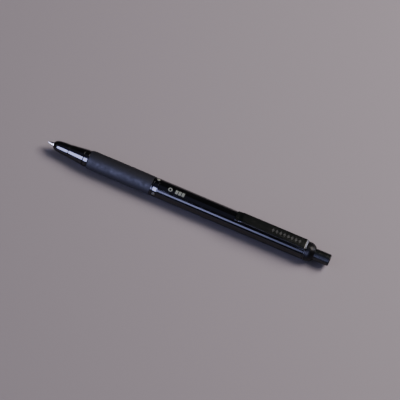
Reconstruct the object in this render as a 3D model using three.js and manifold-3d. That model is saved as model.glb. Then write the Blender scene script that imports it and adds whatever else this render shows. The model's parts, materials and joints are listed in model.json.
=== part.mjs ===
// A retractable ballpoint pen, taken apart into the pieces it is assembled from.
// Units are millimetres. +X runs from the writing tip to the push button, +Z is up with the clip on top.
// The origin is halfway along the pen, on the surface that the pen lies on.
// The pen is shown ready to write: button in, tip out.
//
// Inside every function, x is a station along the pen, measured back from just before the nose,
// and angles around the pen are in degrees, counted from the clip (+Z) towards -Y.
import * as THREE from "three";
import { mergeVertices } from "three/addons/utils/BufferGeometryUtils.js";
import Module from "manifold-3d";

const wasm = await Module();
wasm.setup();

// ---- Driving dimensions -------------------------------------------------------------------

const PEN_LENGTH = 142.5;
const TIP_OUT = 2.8; // how far the ball stands in front of station 0 when writing
const BUTTON_END = PEN_LENGTH - TIP_OUT;

const GRIP_RADIUS = 4.6;
const BARREL_RADIUS = 4.55;
const BARREL_BORE = 3.95;

// Stations where one visible piece ends and the next begins.
const NOSE = { front: 0.35, rear: 15.85 }; // its front face lies just behind station 0
const COLLAR = { front: 15.9, rear: 18.1 };
const GRIP = { front: 18.2, rear: 50.1 };
const GRIP_RING = { front: 50.15, rear: 51.05 };
const MARKER_RING = { front: 51.15, rear: 53.4 };
const BARREL = { front: 53.45, rear: 126.9 };
const CLIP_COLLAR = { front: 127.0, rear: 127.6 };
const CROWN = { front: 127.7, shoulder: 129, rear: 131.9, rimRadius: 3.3 };

// Writing refill: a ball in a metal point, a plastic holder with a flange, and the ink tube behind it.
const BALL_RADIUS = 0.35;
const BALL_OUT = 0.2; // how far the ball stands out of its socket
const POINT = { radius: 1.15, shoulder: 0.2, rear: 5.0, inkBore: 0.15 };
const HOLDER = { front: 4.4, radius: 1.75, rear: 17, inkBore: 0.6 };
const REFILL_FLANGE = { front: 12.2, rear: 13.0, radius: 2.7 };
const TUBE = { rear: 108.2, radius: 2.45, bore: 2.0 };
const INK = { front: 17.1, rear: 88 };
const GREASE = { front: 88.1, rear: 91 };

// Bores of the nose, from its mouth to the room for the refill's flange.
const NOSE_BORE = { mouth: 1.28, mouthRear: 3.0, cavity: 1.9, spring: 2.5, springRear: 11, flange: 2.85 };

// Return spring, from its seat in the nose to the refill's flange.
const SPRING = { seat: 7.0, coilRadius: 2.15, wireRadius: 0.17, turns: 7 };

// Screw thread that holds the nose on the grip core.
const THREAD = { front: 18.25, rear: 22.65, pitch: 0.75, root: 3.3, crest: 3.55, clearance: 0.1 };

// Click mechanism: slots and cam ribs in the sleeve, splines on the rotor, keys on the plunger.
const SLOT_COUNT = 4;
const CAM_TEETH = 8;
const SLOT_WIDTH = 30;
const KEY_WIDTH = 23;
const RIB_BORE = 2.97;
const SLEEVE_BORE = 3.45;
const KEY_RADIUS = 3.33;
const RIB_FRONT = 113.75;
const SLOT_END = 125.2;
const BUTTON = { front: 121, radius: 2.85, bore: 2.1 };
const SLEEVE = { front: 104, radius: 3.9, neckRadius: 3.4, rear: 129.4 };
const ROTOR = { front: 105.2, stem: 1.8, shoulder: 108.3, radius: 2.5 };
const SPLINE = { front: 109.3, rear: 113.6 };
const PLUNGER = { keyFront: 116.3, keyRear: 119.5, radius: 2.55, stem: 2.05, rear: 137.5 };
const TOOTH = { depth: 0.9, bore: 1.2, rotorPeak: 114.9, plungerPeak: 115.0 };
const CLEAR = 0.03; // between pieces that are pressed or glued together

// Clip.
const CLIP = { front: 91.8, width: 5.25, under: 5.1, top: 5.7, padBottom: 4.63 };

const FINE = 32; // facets around an outer piece
const INNER = 24; // facets around an inner piece
const SMALL = 16; // facets around a slender piece

// ---- Materials ----------------------------------------------------------------------------

function material(colour, roughness, metalness) {
  return new THREE.MeshStandardMaterial({ color: colour, roughness, metalness });
}

const GLOSS_BLACK = material(0x101214, 0.18, 0.0);
const LACQUER_BLACK = material(0x0e1012, 0.2, 0.3);
const MATTE_RUBBER = material(0x2b2e36, 0.75, 0.0);
const DARK_PLASTIC = material(0x1d1e20, 0.5, 0.0);
const BLACK_STEEL = material(0x15171a, 0.25, 0.7);
const BRIGHT_STEEL = material(0xc9c6c2, 0.25, 1.0);
const NICKEL_SILVER = material(0xd8d2c8, 0.22, 1.0);
const BRASS = material(0xb08d57, 0.35, 1.0);
const WHITE_ACETAL = material(0xd9d8d2, 0.45, 0.0);
const CLEAR_TUBE = material(0xb9c2c8, 0.3, 0.0);
const BLUE_INK = material(0x16204f, 0.4, 0.0);
const AMBER_GREASE = material(0xc8b878, 0.5, 0.0);

// ---- Geometry helpers ---------------------------------------------------------------------

const DEG = Math.PI / 180;

// A three.js geometry as a solid for joining and cutting.
function solid(geometry) {
  const bare = geometry.index ? geometry.toNonIndexed() : geometry.clone();
  bare.deleteAttribute("normal");
  bare.deleteAttribute("uv");
  const merged = mergeVertices(bare, 1e-4);
  const triVerts = new Uint32Array(merged.index.array);
  const vertProperties = new Float32Array(merged.attributes.position.array);
  return new wasm.Manifold(new wasm.Mesh({ numProp: 3, vertProperties, triVerts }));
}

// A solid as a three.js geometry.
function geometryOf(manifold) {
  const mesh = manifold.getMesh();
  const geometry = new THREE.BufferGeometry();
  geometry.setAttribute("position", new THREE.BufferAttribute(mesh.vertProperties, 3));
  geometry.setIndex(new THREE.BufferAttribute(mesh.triVerts, 1));
  geometry.computeVertexNormals();
  return geometry;
}

function join(...geometries) {
  const solids = geometries.map(solid);
  return geometryOf(solids.reduce((whole, next) => whole.add(next)));
}

function overlapOf(a, b) {
  return geometryOf(solid(a).intersect(solid(b)));
}

// Twice the signed area of an [x, radius] outline, negative when it runs clockwise.
function signedArea(outline) {
  return outline.reduce((sum, [x, r], i) => {
    const [nextX, nextR] = outline[(i + 1) % outline.length];
    return sum + x * nextR - nextX * r;
  }, 0);
}

// A turned piece: an outline of [x, radius] corners spun around the pen's axis.
// Flats, not corners, face up, down and sideways, so the pen can rest on one.
function turned(outline, facets = FINE) {
  const ordered = signedArea(outline) < 0 ? outline : [...outline].reverse();
  const onAxis = ordered.some(([, r]) => r === 0);
  const start = onAxis ? ordered.findIndex(([, r], i) => r === 0 && ordered.at(i - 1)[1] === 0) : 0;
  const turnedRound = [...ordered.slice(start), ...ordered.slice(0, start)];
  const points = turnedRound.map(([x, r]) => new THREE.Vector2(r, x));
  if (!onAxis) points.push(points[0].clone());
  const halfFacet = Math.PI / facets;
  return new THREE.LatheGeometry(points, facets, halfFacet, Math.PI * 2).rotateZ(-Math.PI / 2);
}

// A plain tube between two stations.
function tube(front, rear, outer, inner, facets = FINE) {
  return turned([[front, outer], [rear, outer], [rear, inner], [front, inner]], facets);
}

// A block that follows the pen's curve: part of a ring, width degrees wide around centre.
function sector(front, rear, inner, outer, centre, width) {
  const from = (centre - width / 2) * DEG;
  const to = (centre + width / 2) * DEG;
  const shape = new THREE.Shape();
  shape.absarc(0, 0, outer, from, to, false);
  shape.absarc(0, 0, inner, to, from, true);
  shape.closePath();
  const extrusion = { depth: rear - front, bevelEnabled: false, curveSegments: 3 };
  // Shape x becomes up, shape y becomes -Y, and the extrusion runs along +X.
  const toPen = new THREE.Matrix4().set(0, 0, 1, front, 0, -1, 0, 0, 1, 0, 0, 0, 0, 0, 0, 1);
  return new THREE.ExtrudeGeometry(shape, extrusion).applyMatrix4(toPen);
}

// A box from its low corner to its high corner, with z counted from the pen's axis.
function block([x0, y0, z0], [x1, y1, z1]) {
  const box = new THREE.BoxGeometry(x1 - x0, y1 - y0, z1 - z0);
  return box.translate((x0 + x1) / 2, (y0 + y1) / 2, (z0 + z1) / 2);
}

// A closed skin over rings of points: each ring has the same number of points.
function skin(rings, closedLoop) {
  const count = rings[0].length;
  const triangles = [];
  const spans = closedLoop ? rings.length : rings.length - 1;
  for (let i = 0; i < spans; i++) {
    const here = i * count;
    const next = ((i + 1) % rings.length) * count;
    for (let j = 0; j < count; j++) {
      const k = (j + 1) % count;
      triangles.push(here + j, next + j, here + k, here + k, next + j, next + k);
    }
  }
  if (!closedLoop) {
    const last = (rings.length - 1) * count;
    for (let j = 1; j < count - 1; j++) {
      triangles.push(0, j, j + 1);
      triangles.push(last, last + j + 1, last + j);
    }
  }
  const geometry = new THREE.BufferGeometry();
  geometry.setAttribute("position", new THREE.Float32BufferAttribute(rings.flat(2), 3));
  geometry.setIndex(triangles);
  return geometry;
}

function around(x, radius, angle) {
  return [x, -radius * Math.sin(angle * DEG), radius * Math.cos(angle * DEG)];
}

// A ring whose one end is flat, at flatX, and whose other end follows crest: [angle, x] corners.
function toothedRing(inner, outer, flatX, crest) {
  const rings = crest.map(([angle, x]) => {
    const corners = [[x, inner], [x, outer], [flatX, outer], [flatX, inner]];
    const inOrder = flatX > x ? corners : corners.reverse();
    return inOrder.map(([station, radius]) => around(station, radius, angle));
  });
  return skin(rings, true);
}

// Saw teeth around a ring: each rises from base to peak, then drops steeply back.
function sawTeeth(count, base, peak) {
  const tooth = 360 / count;
  const steep = 0.05; // share of a tooth taken by the steep side
  const corners = [];
  for (let i = 0; i < count; i++) {
    corners.push([i * tooth, base]);
    corners.push([(i + 0.5 - steep / 2) * tooth, (base + peak) / 2]);
    corners.push([(i + 1 - steep) * tooth, peak]);
  }
  return corners;
}

// A helical ridge of triangular section, to be joined to a turned wall or cut into it.
// baseRadius lies inside the wall, tipRadius is the ridge's edge, and halfWidth is half its foot.
function helicalRidge(front, rear, pitch, baseRadius, tipRadius, halfWidth) {
  const stepsPerTurn = 16;
  const steps = Math.round(((rear - front) / pitch) * stepsPerTurn);
  const facing = Math.sign(tipRadius - baseRadius);
  const rings = [];
  for (let i = 0; i <= steps; i++) {
    const x = front + ((rear - front) * i) / steps;
    // Right-handed: the ridge turns by the right-hand rule about +X as it runs along +X.
    const angle = (360 * (x - front)) / pitch;
    const section = [[x - halfWidth, baseRadius], [x, tipRadius], [x + halfWidth, baseRadius]];
    const inOrder = facing > 0 ? section : section.reverse();
    rings.push(inOrder.map(([station, radius]) => around(station, radius, angle)));
  }
  return skin(rings, false);
}

// ---- Nose ---------------------------------------------------------------------------------

function noseCone() {
  const ogive = (x) => 2.65 + 0.05 * x - 1.6 * Math.exp(-x / 1.1); // radius of the rounded front half
  const taper = (x) => 2.25 + 0.118 * (x - 0.9); // radius of the rear half's straight flank
  const groove = { front: 7.95, rear: 8.25, depth: 0.14 };
  const flankRear = NOSE.rear - 0.25;
  const outside = [
    ...[NOSE.front, 0.6, 1.0, 1.5, 2.2, 3.2, 5.0, groove.front].map((x) => [x, ogive(x)]),
    [groove.front, taper(groove.front) - groove.depth],
    [groove.rear, taper(groove.rear) - groove.depth],
    [groove.rear, taper(groove.rear)],
    [flankRear, taper(flankRear)], [NOSE.rear, taper(flankRear) - 0.12],
    [NOSE.rear, THREAD.crest],
  ];
  const neck = [[COLLAR.rear, THREAD.crest], [COLLAR.rear, THREAD.root], [THREAD.rear, THREAD.root]];
  const bore = NOSE_BORE;
  const inside = [
    [THREAD.rear, bore.flange], [bore.springRear, bore.flange],
    [bore.springRear, bore.spring], [SPRING.seat, bore.spring],
    [SPRING.seat, bore.cavity], [bore.mouthRear, bore.cavity],
    [bore.mouthRear, bore.mouth], [NOSE.front, bore.mouth],
  ];
  const shell = turned([...outside, ...neck, ...inside]);
  const ridge = helicalRidge(
    THREAD.front + 0.4, THREAD.rear - 0.4, THREAD.pitch, THREAD.root - 0.1, THREAD.crest, 0.36);
  return join(shell, ridge);
}

function noseCollar() {
  return turned([
    [COLLAR.front, 3.98], [COLLAR.front + 0.15, 4.08], [COLLAR.rear - 0.15, 4.12], [COLLAR.rear, 4.02],
    [COLLAR.rear, THREAD.crest + 0.08], [COLLAR.front, THREAD.crest + 0.08],
  ]);
}

// ---- Grip ---------------------------------------------------------------------------------

const CORE_RADIUS = 3.95;
const CORE_TAIL = { radius: 3.6, rear: 58 };

function gripCore() {
  const threadEnd = THREAD.rear + 0.8;
  const minorRadius = THREAD.crest + THREAD.clearance;
  const shell = turned([
    [GRIP.front, CORE_RADIUS], [GRIP.rear - 0.05, CORE_RADIUS],
    [GRIP.rear - 0.05, CORE_TAIL.radius], [CORE_TAIL.rear, CORE_TAIL.radius],
    [CORE_TAIL.rear, 3.0], [threadEnd, 3.0], [threadEnd, minorRadius], [GRIP.front, minorRadius],
  ]);
  // The matching ridge stands half a pitch away from the nose's own, so the two interlock.
  const ridge = helicalRidge(
    THREAD.front + 0.4 + THREAD.pitch / 2, THREAD.rear - 0.4 + THREAD.pitch / 2, THREAD.pitch,
    minorRadius + 0.1, THREAD.root + THREAD.clearance, 0.34);
  return join(shell, ridge);
}

function gripSleeve() {
  const { front, rear } = GRIP;
  const bore = CORE_RADIUS + CLEAR;
  return turned([
    [front, 4.3], [front + 0.3, 4.45], [front + 1.6, 4.57], [front + 3.5, GRIP_RADIUS],
    [rear - 0.2, GRIP_RADIUS], [rear, GRIP_RADIUS - 0.12], [rear, bore], [front, bore],
  ]);
}

function gripRing() {
  return tube(GRIP_RING.front, GRIP_RING.rear, BARREL_RADIUS, CORE_TAIL.radius + CLEAR);
}

function markerRing() {
  const { front, rear } = MARKER_RING;
  const bore = CORE_TAIL.radius + CLEAR;
  const edge = 0.1;
  return turned([
    [front, GRIP_RADIUS - edge], [front + edge, GRIP_RADIUS],
    [rear - edge, GRIP_RADIUS], [rear, GRIP_RADIUS - edge],
    [rear, bore], [front, bore],
  ]);
}

// ---- Barrel and top -----------------------------------------------------------------------

function barrel() {
  const { front, rear } = BARREL;
  const edge = 0.1;
  return turned([
    [front, BARREL_RADIUS - edge], [front + edge, BARREL_RADIUS],
    [rear - edge, BARREL_RADIUS], [rear, BARREL_RADIUS - edge],
    [rear, BARREL_BORE], [front, BARREL_BORE],
  ]);
}

function barrelBush() {
  return tube(BARREL.front + 0.1, 60, BARREL_BORE - CLEAR, CORE_TAIL.radius + CLEAR);
}

// The top end: a short cylinder, then a dome that narrows faster and faster to the rim round the button.
function crown() {
  const { front, shoulder, rear, rimRadius } = CROWN;
  const edge = 0.12;
  const buttonBore = BUTTON.radius + 0.1;
  const sleeveEnd = SLEEVE.rear + 0.1;
  const steps = 6;
  const dome = Array.from({ length: steps + 1 }, (_, i) => {
    const share = i / steps;
    const x = shoulder + (rear - edge - shoulder) * share;
    return [x, GRIP_RADIUS - (GRIP_RADIUS - rimRadius) * share ** 2];
  });
  return turned([
    [front, GRIP_RADIUS], ...dome, [rear, rimRadius - edge],
    [rear, buttonBore], [sleeveEnd, buttonBore], [sleeveEnd, SLEEVE_BORE], [front, SLEEVE_BORE],
  ]);
}

// ---- Clip ---------------------------------------------------------------------------------

// The washer that the barrel and crown clamp, with the lug that the clip's arm springs from.
function clipCollar() {
  const ring = tube(CLIP_COLLAR.front, CLIP_COLLAR.rear, BARREL_RADIUS, SLEEVE_BORE);
  const lug = block([CLIP_COLLAR.front, -2.3, 4.2], [CLIP_COLLAR.rear, 2.3, CLIP.under - 0.1]);
  return join(ring, lug);
}

// The arm in side view, drawn as x against height above the pen's axis, then given its width.
function clipArm() {
  const { front, width, under, top, padBottom } = CLIP;
  const rear = CLIP_COLLAR.rear;
  const side = new THREE.Shape();
  side.moveTo(front, padBottom + 0.35);
  side.lineTo(front + 0.5, padBottom);
  side.lineTo(front + 1.9, padBottom);
  side.lineTo(front + 3.4, under);
  side.lineTo(rear, under);
  side.lineTo(rear, under + 0.1);
  side.lineTo(rear - 0.55, top);
  side.lineTo(front + 0.5, top);
  side.lineTo(front, top - 0.3);
  side.closePath();
  const arm = new THREE.ExtrudeGeometry(side, { depth: width, bevelEnabled: false });
  return arm.rotateX(Math.PI / 2).translate(0, width / 2, 0);
}

// ---- Click mechanism ----------------------------------------------------------------------

function slotAngles() {
  return Array.from({ length: SLOT_COUNT }, (_, i) => (i * 360) / SLOT_COUNT);
}

// Front edge of the ribs: open slots between them, and two cam teeth on each rib.
function ribCrest() {
  const quarter = 360 / SLOT_COUNT;
  const side = 0.5; // degrees taken by a slot's side wall
  const corners = [];
  for (const centre of slotAngles()) {
    const slotEdge = SLOT_WIDTH / 2;
    const middle = quarter / 2;
    corners.push([centre - slotEdge, SLOT_END], [centre, SLOT_END], [centre + slotEdge, SLOT_END]);
    corners.push([centre + slotEdge + side, RIB_FRONT]);
    corners.push([centre + middle - side, RIB_FRONT + 1.1]);
    corners.push([centre + middle + side, RIB_FRONT]);
    corners.push([centre + quarter - slotEdge - side, RIB_FRONT + 1.1]);
  }
  return corners;
}

function camSleeve() {
  const { front, radius, neckRadius, rear } = SLEEVE;
  const neck = CLIP_COLLAR.front - 0.1;
  const body = turned([
    [front, radius], [neck, radius], [neck, neckRadius], [rear, neckRadius],
    [rear, RIB_BORE], [SLOT_END + 0.4, RIB_BORE], [SLOT_END + 0.4, SLEEVE_BORE], [front, SLEEVE_BORE],
  ], INNER);
  const ribs = toothedRing(RIB_BORE, SLEEVE_BORE + 0.15, SLOT_END + 0.8, ribCrest());
  return join(body, ribs);
}

// The rotor that the ribs turn one step with each click. Its stem sits in the refill's open end.
function camRotor() {
  const { front, stem, shoulder, radius } = ROTOR;
  const body = turned([
    [front, 0], [front, stem], [shoulder, stem],
    [shoulder, radius], [SPLINE.rear, radius], [SPLINE.rear, 0],
  ], INNER);
  const teeth = sawTeeth(CAM_TEETH, TOOTH.rotorPeak - TOOTH.depth, TOOTH.rotorPeak);
  const crownTeeth = toothedRing(TOOTH.bore, radius, SPLINE.rear - 0.4, teeth);
  // The splines' rear ends slope like the teeth, to ride on the ribs' cams.
  const slopes = sawTeeth(CAM_TEETH, SPLINE.rear - TOOTH.depth, SPLINE.rear);
  const sweep = toothedRing(radius - 0.6, SLEEVE_BORE, SPLINE.front - 0.5, slopes);
  const splines = slotAngles().map((angle) =>
    overlapOf(sector(SPLINE.front, SPLINE.rear, radius - 0.3, KEY_RADIUS, angle, KEY_WIDTH), sweep));
  return join(body, crownTeeth, ...splines);
}

function plunger() {
  const { keyFront, keyRear, radius, stem, rear } = PLUNGER;
  const front = keyFront - 0.1;
  const body = turned([
    [front, 0], [front, radius], [keyRear, radius], [keyRear, stem], [rear, stem], [rear, 0],
  ], INNER);
  const teeth = sawTeeth(CAM_TEETH, TOOTH.plungerPeak + TOOTH.depth, TOOTH.plungerPeak);
  const crownTeeth = toothedRing(TOOTH.bore, radius, front + 0.4, teeth);
  const keys = slotAngles().map((angle) =>
    sector(keyFront, keyRear, radius - 0.3, KEY_RADIUS, angle, KEY_WIDTH));
  return join(body, crownTeeth, ...keys);
}

function pushButton() {
  const { front, radius, bore } = BUTTON;
  return turned([
    [front, radius], [BUTTON_END - 0.35, radius], [BUTTON_END, radius - 0.35], [BUTTON_END, 0],
    [BUTTON_END - 1.2, 0], [BUTTON_END - 1.2, bore], [front, bore],
  ], INNER);
}

// ---- Refill -------------------------------------------------------------------------------

function writingBall() {
  const ball = new THREE.SphereGeometry(BALL_RADIUS, 12, 8);
  return ball.rotateZ(Math.PI / 2).translate(BALL_RADIUS - TIP_OUT, 0, 0);
}

function ballPoint() {
  const { radius, shoulder, rear, inkBore } = POINT;
  const lip = BALL_OUT - TIP_OUT;
  const socket = [[lip + 0.7, inkBore], [lip + 0.55, 0.39], [lip + 0.18, 0.39], [lip, 0.345]];
  return turned([
    [lip, 0.42], [shoulder, radius], [rear, radius],
    [rear, 0.5], [1.0, 0.5], [0.8, inkBore], ...socket,
  ], SMALL);
}

function tipHolder() {
  const { front, rear, radius } = REFILL_FLANGE;
  const pointBore = POINT.radius + CLEAR;
  const pointSeat = POINT.rear + 0.1;
  return turned([
    [HOLDER.front, HOLDER.radius - 0.25], [HOLDER.front + 0.4, HOLDER.radius],
    [front, HOLDER.radius], [front, radius], [rear, radius],
    [rear, TUBE.bore - CLEAR], [HOLDER.rear, TUBE.bore - CLEAR], [HOLDER.rear, HOLDER.inkBore],
    [pointSeat, HOLDER.inkBore], [pointSeat, pointBore], [HOLDER.front, pointBore],
  ], INNER);
}

function inkTube() {
  return tube(REFILL_FLANGE.rear + 0.02, TUBE.rear, TUBE.radius, TUBE.bore, INNER);
}

function filling({ front, rear }) {
  const radius = TUBE.bore - CLEAR;
  return turned([[front, 0], [front, radius], [rear, radius], [rear, 0]], INNER);
}

class Coil extends THREE.Curve {
  getPoint(t, target = new THREE.Vector3()) {
    const { seat, coilRadius, wireRadius, turns } = SPRING;
    const front = seat + wireRadius + 0.03;
    const rear = REFILL_FLANGE.front - wireRadius - 0.03;
    const angle = t * turns * Math.PI * 2;
    const x = front + (rear - front) * t;
    return target.set(x, coilRadius * Math.cos(angle), coilRadius * Math.sin(angle));
  }
}

function returnSpring() {
  const section = new THREE.Shape();
  const corners = 6;
  for (let i = 0; i < corners; i++) {
    const angle = (i / corners) * Math.PI * 2;
    const point = [SPRING.wireRadius * Math.cos(angle), SPRING.wireRadius * Math.sin(angle)];
    if (i === 0) section.moveTo(...point);
    else section.lineTo(...point);
  }
  section.closePath();
  const steps = SPRING.turns * 14;
  return new THREE.ExtrudeGeometry(section, { steps, extrudePath: new Coil(), bevelEnabled: false });
}

// ---- Assembly -----------------------------------------------------------------------------

function piece(name, geometry, finish) {
  const mesh = new THREE.Mesh(geometry, finish);
  mesh.name = name;
  return mesh;
}

function group(...pieces) {
  const made = new THREE.Group();
  made.add(...pieces);
  return made;
}

const nose = group(
  piece("nose_cone", noseCone(), GLOSS_BLACK),
  piece("nose_collar", noseCollar(), GLOSS_BLACK),
);

const grip = group(
  piece("grip_core", gripCore(), DARK_PLASTIC),
  piece("grip_sleeve", gripSleeve(), MATTE_RUBBER),
  piece("grip_ring", gripRing(), GLOSS_BLACK),
  piece("marker_ring", markerRing(), GLOSS_BLACK),
);

const upperBody = group(
  piece("barrel_bush", barrelBush(), BRASS),
  piece("barrel", barrel(), LACQUER_BLACK),
  piece("crown", crown(), GLOSS_BLACK),
);

const clip = group(
  piece("clip_collar", clipCollar(), BLACK_STEEL),
  piece("clip_arm", clipArm(), BLACK_STEEL),
);

const clickMechanism = group(
  piece("cam_sleeve", camSleeve(), WHITE_ACETAL),
  piece("cam_rotor", camRotor(), WHITE_ACETAL),
  piece("plunger", plunger(), WHITE_ACETAL),
  piece("push_button", pushButton(), BLACK_STEEL),
);

const refill = group(
  piece("writing_ball", writingBall(), BRIGHT_STEEL),
  piece("ball_point", ballPoint(), NICKEL_SILVER),
  piece("tip_holder", tipHolder(), WHITE_ACETAL),
  piece("ink_tube", inkTube(), CLEAR_TUBE),
  piece("ink", filling(INK), BLUE_INK),
  piece("grease_plug", filling(GREASE), AMBER_GREASE),
  piece("return_spring", returnSpring(), BRIGHT_STEEL),
);

const pen = group(nose, grip, upperBody, clip, clickMechanism, refill);
const flatHeight = GRIP_RADIUS * Math.cos(Math.PI / FINE); // the axis above the flat it rests on
pen.position.set(-(BUTTON_END - TIP_OUT) / 2, 0, flatHeight);

export default group(pen);
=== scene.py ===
import json
import math

import bmesh
import bpy
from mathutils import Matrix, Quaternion, Vector

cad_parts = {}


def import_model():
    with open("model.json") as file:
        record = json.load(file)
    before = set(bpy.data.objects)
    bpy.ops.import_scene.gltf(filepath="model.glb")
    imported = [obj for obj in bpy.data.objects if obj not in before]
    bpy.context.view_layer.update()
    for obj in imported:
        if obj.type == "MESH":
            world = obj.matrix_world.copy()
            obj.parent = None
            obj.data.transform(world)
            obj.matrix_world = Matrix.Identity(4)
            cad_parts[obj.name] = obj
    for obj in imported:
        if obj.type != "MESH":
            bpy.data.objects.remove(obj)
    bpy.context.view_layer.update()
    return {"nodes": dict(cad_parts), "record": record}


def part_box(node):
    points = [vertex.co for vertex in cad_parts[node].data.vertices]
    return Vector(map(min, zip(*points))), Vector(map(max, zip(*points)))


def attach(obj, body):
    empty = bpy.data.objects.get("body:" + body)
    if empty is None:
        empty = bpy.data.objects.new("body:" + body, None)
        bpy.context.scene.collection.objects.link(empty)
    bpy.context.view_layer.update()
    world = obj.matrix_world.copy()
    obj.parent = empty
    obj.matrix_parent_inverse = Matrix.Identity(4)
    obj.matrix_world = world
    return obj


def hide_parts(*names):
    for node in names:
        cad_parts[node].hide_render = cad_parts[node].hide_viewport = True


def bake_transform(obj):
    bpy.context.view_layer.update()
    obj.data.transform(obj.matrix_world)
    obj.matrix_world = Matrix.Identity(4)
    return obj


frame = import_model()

# The looks of a retractable ballpoint pen, built around its CAD frame.
# Stations are millimetres along the pen, counted as in its CAD, radii are millimetres from its axis,
# and angles round the pen are degrees from the clip (+Z) towards -Y.

MM = 0.001
SAME = 1e-6  # millimetres within which two radii count as one
NOSE_FRONT = 0.35  # station of the nose's front face
START_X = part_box("nose_cone")[0].x - NOSE_FRONT * MM
AXIS_Z = (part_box("barrel")[0].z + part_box("barrel")[1].z) / 2
BODY_OF = {node: body for body, nodes in frame["record"]["behaviour"]["bodies"].items() for node in nodes}


def station_of(x):
    return (x - START_X) / MM


def at(station, radius, angle):
    """The point of the frame at a station, radius and angle."""
    turn = math.radians(angle)
    across = -radius * MM * math.sin(turn)
    up = radius * MM * math.cos(turn)
    return Vector((START_X + station * MM, across, AXIS_Z + up))


# ---- Outlines ---------------------------------------------------------------------------------


def outline_of(node):
    """The section of a turned CAD node: its (station, radius) corners, in order."""
    mesh = frame["nodes"][node].data
    same_angle = 0.01  # radians
    corners = []
    angles = []
    for vertex in mesh.vertices:
        y, z = vertex.co.y, vertex.co.z - AXIS_Z
        corners.append((round(station_of(vertex.co.x), 3), round(math.hypot(y, z) / MM, 3)))
        angles.append(math.atan2(-y, z))
    near = {corner: set() for corner in corners}

    def link(a, b):
        near[a].add(b)
        near[b].add(a)

    for edge in mesh.edges:
        a, b = edge.vertices
        if corners[a] != corners[b] and abs(angles[a] - angles[b]) < same_angle:
            link(corners[a], corners[b])
    # A flat end face has no edge that runs straight outwards, so its corners are joined here.
    loose = sorted(corner for corner in near if len(near[corner]) < 2)
    while loose:
        corner = loose.pop(0)
        if loose and loose[0][0] == corner[0]:
            link(corner, loose.pop(0))
        else:
            on_axis = (corner[0], 0.0)
            near.setdefault(on_axis, set())
            link(corner, on_axis)
    start = min(near, key=lambda corner: (corner[1], corner[0]))
    path = [start]
    while True:
        onward = [corner for corner in near[path[-1]] if corner not in path]
        if not onward:
            return path
        path.append(onward[0])


def eased_corner(before, here, after, radius):
    """The points that turn a corner into an arc, each end of it held by a point just beyond."""
    straight, arc_step = 4, 18  # degrees
    arc_share = 0.4  # the most that an arc takes of a side
    hold, hold_share = 0.06, 0.05  # how far beyond the arc a point holds it, and the most of a side
    corner = Vector(here)
    back = Vector(before) - corner
    ahead = Vector(after) - corner
    turn = math.pi - back.angle(ahead)
    if here[1] == 0 or turn < math.radians(straight):
        return [here]
    reach = min(radius * math.tan(turn / 2), back.length * arc_share, ahead.length * arc_share)
    first = corner + back.normalized() * reach
    last = corner + ahead.normalized() * reach
    held_back = first + back.normalized() * min(hold, back.length * hold_share)
    held_ahead = last + ahead.normalized() * min(hold, ahead.length * hold_share)
    steps = max(2, round(math.degrees(turn) / arc_step))
    arc = []
    for step in range(steps + 1):
        t = step / steps
        arc.append(tuple(first * (1 - t) ** 2 + corner * (2 * t * (1 - t)) + last * t**2))
    return [tuple(held_back)] + arc + [tuple(held_ahead)]


def rounded(outline, radius):
    """The closed outline with its corners eased."""
    eased = []
    for i, corner in enumerate(outline):
        eased += eased_corner(outline[i - 1], corner, outline[(i + 1) % len(outline)], radius)
    return eased


def eased_line(line, radius):
    """The open line with its inner corners eased."""
    eased = [line[0]]
    for before, here, after in zip(line, line[1:], line[2:]):
        eased += eased_corner(before, here, after, radius)
    return eased + [line[-1]]


def ringed(outline, radius, spacing):
    """The outline with extra points along its stretch at one radius, for a thread to rise from."""
    filled = []
    for here, there in zip(outline, outline[1:] + outline[:1]):
        filled.append(here)
        span = there[0] - here[0]
        count = round(abs(span) / spacing)
        if abs(here[1] - radius) < SAME and abs(there[1] - radius) < SAME:
            filled += [(here[0] + span * i / count, radius) for i in range(1, count)]
    return filled


# ---- Meshes -----------------------------------------------------------------------------------


def skin(name, rings, finish, ends):
    """A closed mesh over rings of points. Its ends are "joined" to each other, "capped" or "pointed"."""
    weld, sharp = 0.0001, 32  # millimetres and degrees
    count = len(rings[0])
    points = [point for ring in rings for point in ring]
    faces = []
    for i in range(len(rings) if ends == "joined" else len(rings) - 1):
        here = i * count
        there = (i + 1) % len(rings) * count
        for j in range(count):
            k = (j + 1) % count
            faces.append((here + j, here + k, there + k, there + j))
    if ends == "capped":
        faces.append(tuple(range(count)))
        faces.append(tuple(range(len(points) - count, len(points))))
    mesh = bpy.data.meshes.new(name)
    mesh.from_pydata(points, [], faces)
    work = bmesh.new()
    work.from_mesh(mesh)
    bmesh.ops.remove_doubles(work, verts=work.verts, dist=weld * MM)
    bmesh.ops.recalc_face_normals(work, faces=work.faces)
    work.to_mesh(mesh)
    work.free()
    mesh.shade_smooth()
    mesh.set_sharp_from_angle(angle=math.radians(sharp))
    mesh.materials.append(finish)
    piece = bpy.data.objects.new(name, mesh)
    bpy.context.scene.collection.objects.link(piece)
    return piece


def turned(name, section, finish, angles=160):
    """A piece turned round the axis. section is its outline, or a function that gives it at an angle.

    angles is how many there are round the piece, or a list of them. An outline that starts on the axis
    also ends there; any other is a closed loop.
    """
    if isinstance(angles, int):
        angles = [360 * i / angles for i in range(angles)]
    outlines = [section(angle) if callable(section) else section for angle in angles]
    rings = []
    for i in range(len(outlines[0])):
        rings.append([at(*outline[i], angle) for outline, angle in zip(outlines, angles)])
    return skin(name, rings, finish, "pointed" if outlines[0][0][1] == 0 else "joined")


def fit(piece, node):
    """The piece stands for a CAD node and rides on its body."""
    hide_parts(node)
    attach(piece, BODY_OF[node])


def fit_between(piece, node):
    """The piece stands for a CAD node; its place is baked into its mesh and it rides on no body."""
    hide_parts(node)
    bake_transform(piece)


# ---- Finishes ---------------------------------------------------------------------------------


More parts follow.
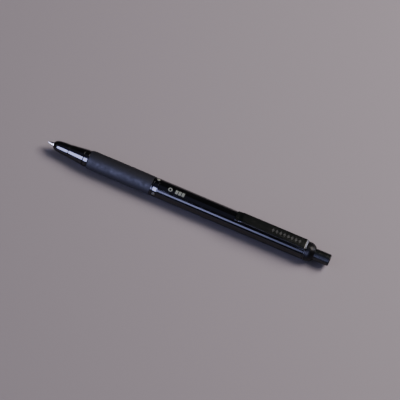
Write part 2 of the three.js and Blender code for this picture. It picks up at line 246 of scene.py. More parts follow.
class Finish:
    """A procedural material: plain values for a Principled shader, and noises that vary them."""

    def __init__(self, name, colour, roughness, metallic=0.0):
        self.material = bpy.data.materials.new(name)
        self.material.use_nodes = True
        self.nodes = self.material.node_tree.nodes
        self.links = self.material.node_tree.links
        self.shader = self.nodes["Principled BSDF"]
        self.place = self.nodes.new("ShaderNodeTexCoord").outputs["Object"]
        self.put("Base Color", (*colour, 1.0))
        self.put("Roughness", roughness)
        self.put("Metallic", metallic)

    def put(self, name, value):
        self.shader.inputs[name].default_value = value

    def noise(self, size, stretch=(1, 1, 1), detail=2.0):
        """A noise with features about size millimetres across, drawn out along each axis by stretch."""
        mapping = self.nodes.new("ShaderNodeMapping")
        mapping.inputs["Scale"].default_value = [1 / (size * MM * s) for s in stretch]
        noise = self.nodes.new("ShaderNodeTexNoise")
        noise.inputs["Scale"].default_value = 1.0
        noise.inputs["Detail"].default_value = detail
        self.links.new(self.place, mapping.inputs["Vector"])
        self.links.new(mapping.outputs["Vector"], noise.inputs["Vector"])
        return noise.outputs["Fac"]

    def spread(self, value, low, high):
        """The middle of a noise's range, spread from low to high."""
        node = self.nodes.new("ShaderNodeMapRange")
        node.inputs["From Min"].default_value = 0.3
        node.inputs["From Max"].default_value = 0.7
        node.inputs["To Min"].default_value = low
        node.inputs["To Max"].default_value = high
        self.links.new(value, node.inputs["Value"])
        return node.outputs["Result"]

    def roughen(self, value, low, high):
        self.links.new(self.spread(value, low, high), self.shader.inputs["Roughness"])

    def tint(self, value, first, second):
        """Colour that runs from first to second with the noise."""
        ramp = self.nodes.new("ShaderNodeValToRGB")
        ramp.color_ramp.elements[0].position = 0.35
        ramp.color_ramp.elements[0].color = (*first, 1.0)
        ramp.color_ramp.elements[1].position = 0.65
        ramp.color_ramp.elements[1].color = (*second, 1.0)
        self.links.new(value, ramp.inputs["Fac"])
        self.links.new(ramp.outputs["Color"], self.shader.inputs["Base Color"])

    def bump(self, height, depth):
        """Relief of depth millimetres, on top of any relief that is already there."""
        node = self.nodes.new("ShaderNodeBump")
        node.inputs["Strength"].default_value = 1.0
        node.inputs["Distance"].default_value = depth * MM
        self.links.new(height, node.inputs["Height"])
        normal = self.shader.inputs["Normal"]
        if normal.links:
            self.links.new(normal.links[0].from_socket, node.inputs["Normal"])
        self.links.new(node.outputs["Normal"], normal)


def gloss_black():
    finish = Finish("gloss_black", colour=(0.003, 0.003, 0.004), roughness=0.08)
    finish.roughen(finish.noise(size=1.6, detail=4.0), low=0.05, high=0.11)
    finish.tint(finish.noise(size=4.0), first=(0.0025, 0.0025, 0.003), second=(0.004, 0.004, 0.005))
    finish.bump(finish.noise(size=0.7), depth=0.0008)
    return finish.material


def lacquer():
    finish = Finish("lacquer", colour=(0.0028, 0.003, 0.0035), roughness=0.08)
    finish.roughen(finish.noise(size=2.2, detail=4.0), low=0.06, high=0.11)
    finish.bump(finish.noise(size=0.9), depth=0.0008)
    finish.bump(finish.noise(size=0.05, stretch=(60, 1, 1)), depth=0.0002)
    return finish.material


def grip_rubber():
    finish = Finish("grip_rubber", colour=(0.006, 0.007, 0.009), roughness=0.65)
    finish.put("Specular IOR Level", 0.3)
    finish.put("Sheen Weight", 0.03)
    finish.put("Sheen Roughness", 0.5)
    finish.put("Sheen Tint", (0.55, 0.6, 0.8, 1.0))
    finish.roughen(finish.noise(size=1.5, detail=4.0), low=0.56, high=0.74)
    patches = finish.noise(size=2.5, detail=4.0)
    finish.tint(patches, first=(0.0045, 0.005, 0.007), second=(0.0075, 0.008, 0.011))
    finish.bump(finish.noise(size=0.16, detail=3.0), depth=0.012)
    return finish.material


def satin_black():
    finish = Finish("satin_black", colour=(0.004, 0.004, 0.005), roughness=0.34)
    finish.put("Specular IOR Level", 0.22)
    finish.roughen(finish.noise(size=1.2, detail=4.0), low=0.3, high=0.38)
    finish.bump(finish.noise(size=0.5), depth=0.001)
    return finish.material


def button_black():
    finish = Finish("button_black", colour=(0.004, 0.006, 0.0055), roughness=0.2)
    finish.roughen(finish.noise(size=0.8, detail=4.0), low=0.15, high=0.25)
    finish.bump(finish.noise(size=0.4), depth=0.0008)
    return finish.material


def core_plastic():
    finish = Finish("core_plastic", colour=(0.012, 0.012, 0.013), roughness=0.45)
    finish.roughen(finish.noise(size=2.0, stretch=(4, 1, 1)), low=0.35, high=0.55)
    finish.bump(finish.noise(size=0.3), depth=0.003)
    return finish.material


def clip_steel():
    finish = Finish("clip_steel", colour=(0.004, 0.006, 0.0055), roughness=0.2)
    finish.roughen(finish.noise(size=0.25, stretch=(12, 1, 1), detail=4.0), low=0.14, high=0.26)
    patches = finish.noise(size=3.0, stretch=(3, 1, 1))
    finish.tint(patches, first=(0.003, 0.0045, 0.004), second=(0.006, 0.008, 0.007))
    finish.bump(finish.noise(size=0.08, stretch=(30, 1, 1)), depth=0.0006)
    return finish.material


def etched_steel():
    finish = Finish("etched_steel", colour=(0.045, 0.047, 0.045), roughness=0.5)
    finish.put("Specular IOR Level", 0.3)
    finish.tint(finish.noise(size=0.6), first=(0.018, 0.02, 0.02), second=(0.075, 0.078, 0.075))
    finish.bump(finish.noise(size=0.08), depth=0.006)
    return finish.material


def bright_steel():
    finish = Finish("bright_steel", colour=(0.68, 0.67, 0.65), roughness=0.22, metallic=1.0)
    finish.roughen(finish.noise(size=0.5, detail=3.0), low=0.16, high=0.3)
    finish.bump(finish.noise(size=0.1), depth=0.001)
    return finish.material


def nickel_silver():
    finish = Finish("nickel_silver", colour=(0.78, 0.73, 0.66), roughness=0.24, metallic=1.0)
    turning = finish.noise(size=0.05, stretch=(1, 200, 200), detail=3.0)
    finish.roughen(turning, low=0.18, high=0.32)
    finish.bump(turning, depth=0.002)
    return finish.material


def brass():
    finish = Finish("brass", colour=(0.6, 0.4, 0.15), roughness=0.3, metallic=1.0)
    turning = finish.noise(size=0.08, stretch=(1, 200, 200), detail=3.0)
    finish.roughen(turning, low=0.22, high=0.4)
    finish.bump(turning, depth=0.003)
    return finish.material


def acetal():
    finish = Finish("acetal", colour=(0.68, 0.67, 0.63), roughness=0.4)
    finish.put("Subsurface Weight", 0.1)
    finish.put("Subsurface Scale", 0.5 * MM)
    finish.roughen(finish.noise(size=1.0), low=0.32, high=0.5)
    finish.bump(finish.noise(size=0.3), depth=0.003)
    return finish.material


def clear_tube():
    finish = Finish("clear_tube", colour=(0.78, 0.82, 0.85), roughness=0.18)
    finish.put("Transmission Weight", 0.8)
    finish.put("IOR", 1.49)
    finish.roughen(finish.noise(size=3.0, stretch=(6, 1, 1)), low=0.12, high=0.26)
    finish.bump(finish.noise(size=0.4, stretch=(20, 1, 1)), depth=0.001)
    return finish.material


def ink_fill():
    finish = Finish("ink", colour=(0.006, 0.01, 0.05), roughness=0.3)
    patches = finish.noise(size=2.0, stretch=(3, 1, 1))
    finish.tint(patches, first=(0.004, 0.007, 0.04), second=(0.008, 0.013, 0.065))
    return finish.material


def grease_fill():
    finish = Finish("grease", colour=(0.5, 0.42, 0.2), roughness=0.4)
    finish.put("Subsurface Weight", 0.3)
    finish.put("Subsurface Scale", 0.5 * MM)
    finish.tint(finish.noise(size=0.8), first=(0.42, 0.35, 0.16), second=(0.58, 0.5, 0.27))
    return finish.material


def pad_plastic():
    finish = Finish("pad_plastic", colour=(0.26, 0.28, 0.25), roughness=0.35)
    finish.roughen(finish.noise(size=0.4), low=0.28, high=0.45)
    finish.tint(finish.noise(size=0.8), first=(0.22, 0.24, 0.21), second=(0.3, 0.32, 0.28))
    return finish.material


def print_ink():
    finish = Finish("print_ink", colour=(0.3, 0.34, 0.32), roughness=0.5)
    finish.tint(finish.noise(size=0.35, detail=4.0), first=(0.22, 0.26, 0.24), second=(0.36, 0.4, 0.38))
    finish.bump(finish.noise(size=0.12), depth=0.003)
    return finish.material


GLOSS_BLACK = gloss_black()
LACQUER = lacquer()
GRIP_RUBBER = grip_rubber()
SATIN_BLACK = satin_black()
BUTTON_BLACK = button_black()
CORE_PLASTIC = core_plastic()
CLIP_STEEL = clip_steel()
ETCHED_STEEL = etched_steel()
BRIGHT_STEEL = bright_steel()
NICKEL_SILVER = nickel_silver()
BRASS = brass()
ACETAL = acetal()
CLEAR_TUBE = clear_tube()
INK = ink_fill()
GREASE = grease_fill()
PAD_PLASTIC = pad_plastic()
PRINT_INK = print_ink()


# ---- Pieces turned straight from their CAD sections --------------------------------------------


def turned_from_cad(node, finish, edge, angles=160):
    piece = turned(node + "_fine", rounded(outline_of(node), edge), finish, angles)
    fit(piece, node)


turned_from_cad("nose_collar", GLOSS_BLACK, edge=0.15)
turned_from_cad("grip_sleeve", GRIP_RUBBER, edge=0.2)
turned_from_cad("grip_ring", GLOSS_BLACK, edge=0.1)
turned_from_cad("barrel", LACQUER, edge=0.12, angles=192)
turned_from_cad("crown", SATIN_BLACK, edge=0.12)
turned_from_cad("push_button", BUTTON_BLACK, edge=0.2, angles=128)
turned_from_cad("barrel_bush", BRASS, edge=0.05, angles=96)
turned_from_cad("tip_holder", ACETAL, edge=0.08, angles=96)
turned_from_cad("ink_tube", CLEAR_TUBE, edge=0.05, angles=96)
turned_from_cad("ink", INK, edge=0.2, angles=64)
turned_from_cad("grease_plug", GREASE, edge=0.3, angles=64)


# ---- Nose and grip core, with their screw thread ------------------------------------------------

PITCH = 0.75
THREAD_FRONT = 18.25
THREAD_REAR = 22.65
THREAD_ROOT = 3.3
THREAD_CREST = 3.55
THREAD_CLEARANCE = 0.1
THREAD_LEAD_IN = 0.4
RINGS_PER_PITCH = 12


def threaded(outline, base, tip, first_crest, half_width):
    """A section for turned(): the outline with a right-handed triangular ridge from base to tip."""

    def rise(station, angle):
        turns = (station - first_crest) / PITCH - angle / 360
        away = abs(turns - round(turns)) * PITCH
        run_in = min(1, (station - THREAD_FRONT) / PITCH, (THREAD_REAR + PITCH / 2 - station) / PITCH)
        return (tip - base) * max(0, 1 - away / half_width) * max(0, run_in)

    def section(angle):
        raised = []
        for station, radius in outline:
            on_thread = abs(radius - base) < SAME
            raised.append((station, radius + rise(station, angle) if on_thread else radius))
        return raised

    return section


def nose_cone():
    flank_rear, rear, rear_chamfer = 15.6, 15.85, 0.2
    collar_rear = 18.1
    groove_front, groove_rear, groove_depth, groove_side = 7.9, 8.3, 0.16, 0.08
    mouth_rear, cavity_front, cavity_rear, spring_rear = 2.6, 3, 7, 11
    mouth, cavity, spring_bore, flange_bore = 1.28, 1.9, 2.5, 2.85
    steps, crowding = 24, 1.6

    def ogive(station):
        """The radius of the front half, which rounds off towards the mouth."""
        start, taper, rounding, fall = 2.65, 0.05, 1.6, 1.1
        return start + taper * station - rounding * math.exp(-station / fall)

    def flank(station):
        """The radius of the straight rear half."""
        start, start_radius, taper = 0.9, 2.25, 0.118
        return start_radius + taper * (station - start)

    ogive_length = groove_front - NOSE_FRONT
    stations = [NOSE_FRONT + ogive_length * (step / steps) ** crowding for step in range(steps + 1)]
    outside = [(station, ogive(station)) for station in stations]
    outside += [
        (groove_front + groove_side, flank(groove_front) - groove_depth),
        (groove_rear - groove_side, flank(groove_rear) - groove_depth),
        (groove_rear, flank(groove_rear)),
        (flank_rear, flank(flank_rear)),
        (rear, flank(flank_rear) - rear_chamfer),
        (rear, THREAD_CREST),
        (collar_rear, THREAD_CREST),
        (collar_rear, THREAD_ROOT),
        (THREAD_REAR, THREAD_ROOT),
    ]
    inside = [
        (THREAD_REAR, flange_bore),
        (spring_rear, flange_bore),
        (spring_rear, spring_bore),
        (cavity_rear, spring_bore),
        (cavity_rear, cavity),
        (cavity_front, cavity),
        (mouth_rear, mouth),
        (NOSE_FRONT, mouth),
    ]
    outline = ringed(rounded(outside + inside, radius=0.12), THREAD_ROOT, PITCH / RINGS_PER_PITCH)
    section = threaded(outline, THREAD_ROOT, THREAD_CREST, THREAD_FRONT + THREAD_LEAD_IN, half_width=0.36)
    return turned("nose_cone_fine", section, GLOSS_BLACK, angles=176)


def grip_core():
    radius, tail_radius, bore = 3.95, 3.6, 3.0
    front, shoulder, rear = 18.2, 50.05, 58
    minor = THREAD_CREST + THREAD_CLEARANCE
    thread_end = THREAD_REAR + 0.8
    outline = [
        (front, radius),
        (shoulder, radius),
        (shoulder, tail_radius),
        (rear, tail_radius),
        (rear, bore),
        (thread_end, bore),
        (thread_end, minor),
        (front, minor),
    ]
    outline = ringed(rounded(outline, radius=0.08), minor, PITCH / RINGS_PER_PITCH)
    # Its ridge stands half a pitch away from the nose's own, so the two interlock.
    first_crest = THREAD_FRONT + THREAD_LEAD_IN + PITCH / 2
    section = threaded(outline, minor, THREAD_ROOT + THREAD_CLEARANCE, first_crest, half_width=0.34)
    return turned("grip_core_fine", section, CORE_PLASTIC, angles=128)


fit(nose_cone(), "nose_cone")
fit(grip_core(), "grip_core")


# ---- Marker ring and printed marks --------------------------------------------------------------

RING_FRONT = station_of(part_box("marker_ring")[0].x)
RING_REAR = station_of(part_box("marker_ring")[1].x)
RING_RADIUS = 4.6
BARREL_RADIUS = 4.55
DOT_RADIUS = 0.74
DOT_ANGLES = (-25, 76, 155, 256)
PRINT_ANGLE = 9
PRINT_TOP = 0.012  # how far the print stands above the barrel
PRINT_FOOT = -0.05  # and how far it is sunk, so that it leaves no gap
RING_PRINT_STATION = 59.1
BAR_COUNT = 3
BAR_FIRST = 62.33
BAR_PITCH = 1.62
BAR_WIDTH = 1.25
BAR_HEIGHT = 1.9


def marker_ring():
    """A ring that swells towards the barrel."""
    bore = min(radius for _, radius in outline_of("marker_ring"))
    swell = 0.15
    steps = 10
    outline = [(RING_REAR, bore), (RING_FRONT, bore)]
    for step in range(steps + 1):
        share = step / steps
        station = RING_FRONT + (RING_REAR - RING_FRONT) * share
        outline.append((station, RING_RADIUS - swell * (1 - share) ** 2))
    return turned("marker_ring_fine", rounded(outline, radius=0.08), GLOSS_BLACK)


def wrapped(name, loops, station, angle, radius, finish, ends):
    """A raised patch: loops of (along, round, height) millimetres, laid on the pen's curve."""
    rings = []
    for loop in loops:
        rings.append([at(station + u, radius + h, angle + math.degrees(v / radius)) for u, v, h in loop])
    return skin(name, rings, finish, ends)


def circle(radius, height, count=32):
    turns = [math.tau * i / count for i in range(count)]
    return [(radius * math.cos(turn), radius * math.sin(turn), height) for turn in turns]


def dot(name, angle):
    """A round pad let into the marker ring, with an eased rim."""
    proud, sunk, ease = 0.1, -0.3, 0.1
    loops = [circle(DOT_RADIUS * share, proud) for share in (0.15, 0.4, 0.65)]
    for inset, drop in ((ease, 0.01), (ease * 0.35, 0.035), (0, 0.09)):
        loops.append(circle(DOT_RADIUS - inset, proud - drop))
    loops.append(circle(DOT_RADIUS, sunk))
    middle = (RING_FRONT + RING_REAR) / 2
    piece = wrapped(name, loops, middle, angle, RING_RADIUS, PAD_PLASTIC, "capped")
    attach(piece, "barrel")


def printed(name, loops, station, ends):
    """A patch of print on the barrel."""
    piece = wrapped(name, loops, station, PRINT_ANGLE, BARREL_RADIUS, PRINT_INK, ends)
    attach(piece, "barrel")


def printed_ring():
    outer, inner = 1.0, 0.55
    loops = [circle(outer, PRINT_FOOT), circle(outer, PRINT_TOP)]
    loops += [circle(inner, PRINT_TOP), circle(inner, PRINT_FOOT)]
    printed("printed_ring", loops, RING_PRINT_STATION, "joined")


def bar_loop(inset, height):
    """The print bar's outline, drawn in by inset, with 10 points on each side."""
    points = []
    half_u, half_v = BAR_WIDTH / 2 - inset, BAR_HEIGHT / 2 - inset
    per_side = 10
    corners = [(-half_u, -half_v), (half_u, -half_v), (half_u, half_v), (-half_u, half_v)]
    for (u, v), (next_u, next_v) in zip(corners, corners[1:] + corners[:1]):
        for step in range(per_side):
            t = (step + 0.5) / per_side
            points.append((u + (next_u - u) * t, v + (next_v - v) * t, height))
    return points


def printed_bar(number):
    loops = [bar_loop(BAR_WIDTH / 2 * share, PRINT_TOP) for share in (0.9, 0.6, 0.3)]
    loops += [bar_loop(0, PRINT_TOP), bar_loop(0, PRINT_FOOT)]
    printed(f"printed_bar_{number + 1}", loops, BAR_FIRST + BAR_PITCH * number, "capped")


fit(marker_ring(), "marker_ring")
for number, dot_angle in enumerate(DOT_ANGLES, start=1):
    dot(f"marker_dot_{number}", dot_angle)

printed_ring()
for number in range(BAR_COUNT):
    printed_bar(number)


# ---- Clip -----------------------------------------------------------------------------------------

CLIP_HALF_WIDTH = 2.62
CLIP_HALF_THICKNESS = 0.3
CLIP_TIP = 91.75
CLIP_TIP_HEIGHT = 4.98
CLIP_HEIGHT = 5.4
ROOT_TOP = 4.2
BEND_END = 120  # a station on the flat top that sets the ease out of the root's bend
WASHER_FRONT = 127.0
WASHER_REAR = 127.6
MARK_FIRST = 110.2
MARK_PITCH = 1.9
MARK_COUNT = 8
MARK_HALF_LENGTH = 0.72
MARK_HALF_HEIGHT = 1.1


def washer():
    bore = 3.45
    outline = [
        (WASHER_FRONT, BARREL_RADIUS),
        (WASHER_REAR, BARREL_RADIUS),
        (WASHER_REAR, bore),
        (WASHER_FRONT, bore),
    ]
    return turned("clip_washer", rounded(outline, radius=0.07), CLIP_STEEL)


def mark_reach(station):
    """Half the height of the pressed lozenge at a station, or 0 between lozenges."""
    number = round((station - MARK_FIRST) / MARK_PITCH)
    centre = MARK_FIRST + MARK_PITCH * min(max(number, 0), MARK_COUNT - 1)
    return MARK_HALF_HEIGHT * max(0, 1 - abs(station - centre) / MARK_HALF_LENGTH)


def blade_line():
    """The blade's centre line from its root in the washer to its tip, as (station, height)."""
    washer_middle = (WASHER_FRONT + WASHER_REAR) / 2
    root_foot, bend_foot, bend_front = 3.6, 4.85, WASHER_REAR - 1.1
    root = [(washer_middle, height) for height in (root_foot, ROOT_TOP, bend_foot)]
    root += [(bend_front, CLIP_HEIGHT), (BEND_END, CLIP_HEIGHT)]

    before_dip, dip_rear, dip_front = 97, 95.3, 93.7
    dip = [(before_dip, CLIP_HEIGHT), (dip_rear, CLIP_HEIGHT)]
    dip += [(dip_front, CLIP_TIP_HEIGHT), (CLIP_TIP, CLIP_TIP_HEIGHT)]

    marked = []
    for i in range(MARK_COUNT):
        centre = MARK_FIRST + MARK_PITCH * i
        marked += [centre + MARK_HALF_LENGTH * share for share in (-1, -0.85, -0.5, 0, 0.5, 0.85, 1)]
    flat_front, spacing, count, apart = 96.6, 0.8, 37, 0.2
    even = [flat_front + spacing * i for i in range(count)]
    clear = [station for station in even if all(abs(station - mark) > apart for mark in marked)]
    flat = [(station, CLIP_HEIGHT) for station in sorted(clear + marked, reverse=True)]

    end_steps = (1.1, 0.9, 0.7, 0.5, 0.35, 0.22, 0.12, 0.05, 0.0)
    end = [(CLIP_TIP + step, CLIP_TIP_HEIGHT) for step in end_steps]
    return eased_line(root, radius=0.3)[:-1] + flat + eased_line(dip, radius=1.5)[1:-1] + end


def quarter(half, edge, distance):
    """Half a width or thickness that rounds off with radius edge towards the tip."""
    if distance >= edge:
        return half
    return half - edge + math.sqrt(edge**2 - (edge - distance) ** 2)


def blade_section(half_width, half_thickness, reach):
    """The blade's section as (across, up) points, with the pressed lozenge in its top face."""
    rolled_edge, edge_share, corner_steps = 0.14, 0.8, 4
    edge = min(rolled_edge, half_thickness * edge_share)
    least, lip, wall = 0.02, 0.04, 0.06
    full_depth, full_depth_reach = 0.07, 0.1
    depth = full_depth * min(1, max(0, reach - least) / full_depth_reach)
    reach = max(reach, least)
    floor = max(reach - wall, reach / 2)
    section = []
    for centre_u, centre_n, start in ((-1, 1, 180), (1, 1, 90), (1, -1, 0), (-1, -1, -90)):
        for step in range(corner_steps + 1):
            turn = math.radians(start - 90 * step / corner_steps)
            u = centre_u * (half_width - edge) + edge * math.cos(turn)
            n = centre_n * (half_thickness - edge) + edge * math.sin(turn)
            section.append((u, n))
        if start == 180:
            top, bottom = half_thickness, half_thickness - depth
            section += [(-reach - lip, top), (-reach, top), (-floor, bottom), (0, bottom)]
            section += [(floor, bottom), (reach, top), (reach + lip, top)]
    return section


def blade():
    tip_radius, tip_edge = 1.0, 0.2
    root_clearance = 0.02  # keeps the root's faces just inside the washer's
    line = blade_line()
    rings = []
    for i, (station, height) in enumerate(line):
        before = Vector(line[max(i - 1, 0)])
        after = Vector(line[min(i + 1, len(line) - 1)])
        along = (before - after).normalized()
        normal = Vector((-along.y, along.x))
        distance = station - CLIP_TIP
        half_width = quarter(CLIP_HALF_WIDTH, tip_radius, distance)
        half_thickness = quarter(CLIP_HALF_THICKNESS, tip_edge, distance)
        if height <= ROOT_TOP:
            half_thickness -= root_clearance
        ring = []
        for across, up in blade_section(half_width, half_thickness, mark_reach(station)):
            x = station + normal.x * up
            z = height + normal.y * up
            ring.append(Vector((START_X + x * MM, across * MM, AXIS_Z + z * MM)))
        rings.append(ring)
    piece = skin("clip_blade", rings, CLIP_STEEL, "capped")
    piece.data.materials.append(ETCHED_STEEL)
    for face in piece.data.polygons:
        reach = mark_reach(station_of(face.center.x))
        if face.center.z > AXIS_Z + CLIP_HEIGHT * MM and abs(face.center.y) < reach * MM:
            face.material_index = 1
    return piece


fit(washer(), "clip_collar")
fit_between(
    blade(),
    "clip_arm",
)


# ---- Refill ---------------------------------------------------------------------------------------

BALL_RADIUS = 0.35
BALL_CENTRE = station_of(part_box("writing_ball")[0].x) + BALL_RADIUS


def writing_ball():
    steps = 24
    turns = [math.pi * step / steps for step in range(steps + 1)]
    outline = [(BALL_CENTRE - BALL_RADIUS * math.cos(turn), BALL_RADIUS * math.sin(turn)) for turn in turns]
    outline[0] = (outline[0][0], 0)
    outline[-1] = (outline[-1][0], 0)
    return turned("writing_ball_fine", outline, BRIGHT_STEEL, angles=48)


def ball_point():
    """The turned point: a crimped lip round the ball, a step and a cone."""
    ball_out, radius, rear = 0.2, 1.15, 5
    mouth, lip_radius, crimp_radius, step_radius, cone_radius = 0.35, 0.41, 0.48, 0.54, 1.13
    cone_rear, shoulder, funnel_front, funnel_rear = 0.1, 0.35, 0.8, 1
    socket, ink_bore, tail_bore = 0.39, 0.15, 0.5
    lip = BALL_CENTRE - BALL_RADIUS + ball_out
    outside = [
        (lip, mouth),
        (lip, lip_radius),
        (lip + 0.3, crimp_radius),
        (lip + 0.36, step_radius),
        (cone_rear, cone_radius),
        (shoulder, radius),
        (rear, radius),
    ]
    inside = [
        (rear, tail_bore),
        (funnel_rear, tail_bore),
        (funnel_front, ink_bore),
        (lip + 0.7, ink_bore),
        (lip + 0.55, socket),
        (lip + 0.18, socket),
    ]
    return turned("ball_point_fine", rounded(outside + inside, radius=0.03), NICKEL_SILVER, angles=96)


def return_spring():
    """A compression spring with its end turns closed."""
    wire, coil = 0.17, 2.15
    turns, closed_pitch = 7, 0.37
    low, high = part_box("return_spring")
    front = station_of(low.x) + wire
    rear = station_of(high.x) - wire
    open_pitch = (rear - front - 2 * closed_pitch) / (turns - 2)
    per_turn, round_wire = 48, 12
    rings = []
    for step in range(turns * per_turn + 1):
        turn = step / per_turn
        station = front + closed_pitch * min(turn, 1)
        station += open_pitch * min(max(turn - 1, 0), turns - 2)
        station += closed_pitch * max(turn - turns + 1, 0)
        ring = []
        for j in range(round_wire):
            side = math.tau * j / round_wire
            ring.append(at(station + wire * math.sin(side), coil + wire * math.cos(side), 360 * turn))
        rings.append(ring)
    return skin("return_spring_fine", rings, BRIGHT_STEEL, "capped")


fit(writing_ball(), "writing_ball")
fit(ball_point(), "ball_point")
fit_between(
    return_spring(),
    "return_spring",
)


# ---- Click mechanism --------------------------------------------------------------------------------

SLOTS = (0, 90, 180, 270)
RIBS = (45, 135, 225, 315)
SLOT_PITCH = 90
SLOT_HALF_WIDTH = 15
KEY_HALF_WIDTH = 11.5
KEY_RADIUS = 3.33
BETWEEN_KEYS = 0.02  # how far the body rises between its keys, which keeps the section's corners apart
TOOTH_ANGLE = 45
TOOTH_DEPTH = 0.9
TOOTH_BORE = 1.2
TOOTH_STEEP = 0.05  # share of a tooth taken by its steep back
STEM_CHAMFER = 0.2


def between(one, other):
    """The degrees between two angles, the short way round."""
    return abs((one - other + 180) % 360 - 180)


def angles_with(corners, count=144):
    """Even angles round a circle, with exact ones at the corners in place of their neighbours."""
    apart = 1
    exact = [corner % 360 for corner in corners]
    even = [360 * i / count for i in range(count)]
    clear = [angle for angle in even if all(between(angle, near) > apart for near in exact)]
    return sorted(clear + exact)


def wall_angles(middles, half_width):
    """A close pair of angles at each side wall of features at the middles."""
    side = 0.25
    walls = [middle + edge for middle in middles for edge in (-half_width, half_width)]
    return [wall + offset for wall in walls for offset in (-side, side)]


def from_slot(angle):
    """How far an angle is from the middle of the nearest slot."""
    return min(between(angle, slot) for slot in SLOTS)


def saw(angle):
    """How far into the crown teeth's depth an angle reaches, from 0 to 1."""
    share = (angle % TOOTH_ANGLE) / TOOTH_ANGLE
    return min(share / (1 - TOOTH_STEEP), (1 - share) / TOOTH_STEEP)


def cam_sleeve():
    """A tube with four slots, and two cam teeth on each rib between them."""
    front, neck, rear = 104, 126.9, 129.4
    radius, neck_radius, bore, rib_bore = 3.9, 3.4, 3.45, 2.97
    rib_front, rib_width, rib_rise, slot_end = 113.75, 30, 1.1, 125.2
    shell = [
        (rear, rib_bore),
        (rear, neck_radius),
        (neck, neck_radius),
        (neck, radius),
        (front, radius),
        (front, bore),
    ]
    shell = rounded(shell, radius=0.08)

    def section(angle):
        climb = (angle % SLOT_PITCH - SLOT_HALF_WIDTH) % rib_width / rib_width
        crest = slot_end if from_slot(angle) < SLOT_HALF_WIDTH else rib_front + rib_rise * climb
        return shell + [(crest, bore), (crest, rib_bore)]

    walls = wall_angles(SLOTS, SLOT_HALF_WIDTH) + wall_angles(RIBS, 0)
    return turned("cam_sleeve_fine", section, ACETAL, angles_with(walls))


def toothed_angles():
    teeth = [TOOTH_ANGLE * i for i in range(360 // TOOTH_ANGLE)]
    peaks = [tooth - TOOTH_STEEP * TOOTH_ANGLE for tooth in teeth]
    return angles_with(wall_angles(SLOTS, KEY_HALF_WIDTH) + teeth + peaks)


def cam_rotor():
    """The rotor: a stem, four splines with sloped rear ends, and a crown of saw teeth."""
    front, shoulder, spline_front, spline_rear, tooth_base = 105.2, 108.3, 109.3, 113.6, 114.0
    stem, radius = 1.8, 2.5
    foot = [(front, 0), (front, stem - STEM_CHAMFER), (front + STEM_CHAMFER, stem)]
    foot += [(shoulder, stem), (shoulder, radius)]

    def section(angle):
        spline = KEY_RADIUS if from_slot(angle) < KEY_HALF_WIDTH else radius + BETWEEN_KEYS
        slope = spline_rear - TOOTH_DEPTH * (1 - saw(angle))
        tooth = tooth_base + TOOTH_DEPTH * saw(angle)
        splines = [(spline_front, radius), (spline_front, spline), (slope, spline), (slope, radius)]
        crown = [(tooth, radius), (tooth, TOOTH_BORE), (spline_rear, TOOTH_BORE), (spline_rear, 0)]
        return foot + splines + crown

    return turned("cam_rotor_fine", section, ACETAL, toothed_angles())


def plunger():
    """The keyed follower: a crown of saw teeth, four keys and a stem in the push button."""
    tooth_base, key_front, key_rear, rear = 115.9, 116.3, 119.5, 137.5
    tooth_floor = tooth_base + 0.3
    stem, radius = 2.05, 2.55
    tail = [(key_rear, stem), (rear - STEM_CHAMFER, stem), (rear, stem - STEM_CHAMFER), (rear, 0)]

    def section(angle):
        key = KEY_RADIUS if from_slot(angle) < KEY_HALF_WIDTH else radius + BETWEEN_KEYS
        tooth = tooth_base - TOOTH_DEPTH * saw(angle)
        crown = [(tooth_floor, 0), (tooth_floor, TOOTH_BORE), (tooth, TOOTH_BORE), (tooth, radius)]
        return crown + [(key_front, radius), (key_front, key), (key_rear, key)] + tail

    return turned("plunger_fine", section, ACETAL, toothed_angles())


fit(cam_sleeve(), "cam_sleeve")
fit(cam_rotor(), "cam_rotor")
fit(plunger(), "plunger")


# ---- Floor, light and camera ------------------------------------------------------------------------

LAMP_DISTANCE = 0.9
WARM_WHITE = (1.0, 0.91, 0.86)
WARM_YELLOW = (1.0, 0.9, 0.7)
COOL_WHITE = (0.8, 0.84, 1.0)
PALE_VIOLET = (0.8, 0.79, 1.0)
WINDOW_BLUE = (0.5, 0.53, 1.0)


def floor():
    finish = Finish("floor", colour=(0.45, 0.415, 0.47), roughness=0.8)
    finish.put("Specular IOR Level", 0.1)
    finish.bump(finish.noise(size=0.8, detail=3.0), depth=0.02)
    mesh = bpy.data.meshes.new("floor")
    half = 2.0
    below = -0.03 * MM
    corners = [(-half, -half, below), (half, -half, below), (half, half, below), (-half, half, below)]
    mesh.from_pydata(corners, [], [(0, 1, 2, 3)])
    mesh.materials.append(finish.material)
    piece = bpy.data.objects.new("floor", mesh)
    bpy.context.scene.collection.objects.link(piece)


def direction(azimuth, elevation):
    """The way towards a place round the pen: azimuth 0 is -Y and 90 is +X."""
    a, e = math.radians(azimuth), math.radians(elevation)
    return Vector((math.sin(a) * math.cos(e), -math.cos(a) * math.cos(e), math.sin(e)))


def aim(thing, towards):
    """Turn a lamp or camera that stands in the direction towards, so that it faces back."""
    thing.rotation_mode = "QUATERNION"
    thing.rotation_quaternion = (-towards).to_track_quat("-Z", "Y")


def softbox(name, azimuth, elevation, width, height, radiance, colour):
    """A soft panel that faces the pen and looks equally bright whatever its size."""
    light = bpy.data.lights.new(name, "AREA")
    light.shape = "RECTANGLE"
    light.size = width
    light.size_y = height
    light.energy = radiance * math.pi * width * height
    light.color = colour
    lamp = bpy.data.objects.new(name, light)
    towards = direction(azimuth, elevation)
    lamp.location = towards * LAMP_DISTANCE
    aim(lamp, towards)
    bpy.context.scene.collection.objects.link(lamp)
    return lamp


def card(name, azimuth, elevation, width, height, radiance, colour):
    """A reflection card: a panel that is seen in glossy surfaces and leaves the floor's shadow alone."""
    lamp = softbox(name, azimuth, elevation, width, height, radiance, colour)
    lamp.visible_diffuse = False
    return lamp


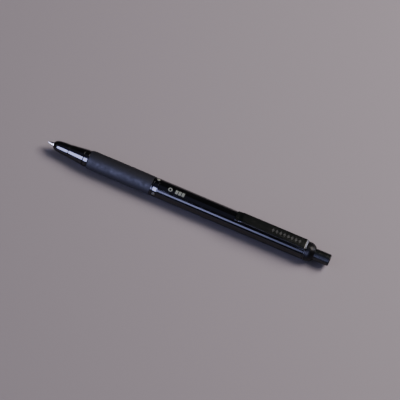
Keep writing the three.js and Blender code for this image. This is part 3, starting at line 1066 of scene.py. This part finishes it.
def window(name, left, right, tilt, height, radiance):
    """A blue reflection card along the pen, from left to right, tilt degrees from overhead towards -Y."""
    lamp = card(name, 0, 90 - tilt, right - left, height, radiance, WINDOW_BLUE)
    lamp.location.x = (left + right) / 2


def lights():
    softbox("key", azimuth=128, elevation=50, width=0.5, height=0.5, radiance=9.0, colour=WARM_WHITE)
    softbox("cool_fill", azimuth=-60, elevation=40, width=0.5, height=0.5, radiance=0.6, colour=COOL_WHITE)
    card("clip_card", azimuth=122, elevation=22, width=0.24, height=0.26, radiance=10.0, colour=PALE_VIOLET)
    card("crown_card", azimuth=136, elevation=10, width=0.15, height=0.15, radiance=3.0, colour=WARM_YELLOW)
    window("window_wide", left=-0.66, right=-0.125, tilt=56.5, height=0.72, radiance=32.0)
    window("window_front", left=-0.125, right=-0.02, tilt=62, height=0.29, radiance=8.3)
    window("window_middle", left=-0.02, right=0.03, tilt=61.7, height=0.3, radiance=6.3)
    window("window_rear", left=0.03, right=0.075, tilt=62.5, height=0.32, radiance=3.9)
    window("window_end", left=0.075, right=0.13, tilt=36, height=0.3, radiance=3.0)
    window("ceiling", left=-0.5, right=0.5, tilt=6, height=0.7, radiance=0.25)


def world():
    made = bpy.data.worlds.new("studio")
    made.use_nodes = True
    background = made.node_tree.nodes["Background"]
    background.inputs["Color"].default_value = (0.85, 0.87, 1.0, 1.0)
    background.inputs["Strength"].default_value = 0.05
    bpy.context.scene.world = made


def camera():
    """A long lens, above the pen on its -Y side, rolled so that the pen slopes across the view."""
    target = Vector((0.00483, 0.0029, AXIS_Z))
    distance, roll = 0.7455, 16.96
    data = bpy.data.cameras.new("camera")
    data.sensor_width = 36
    data.lens = 144
    made = bpy.data.objects.new("camera", data)
    towards = direction(azimuth=6.8, elevation=60)
    made.location = target + towards * distance
    aim(made, towards)
    made.rotation_quaternion = made.rotation_quaternion @ Quaternion((0, 0, 1), math.radians(roll))
    bpy.context.scene.collection.objects.link(made)
    bpy.context.scene.camera = made


floor()
world()
camera()
lights()
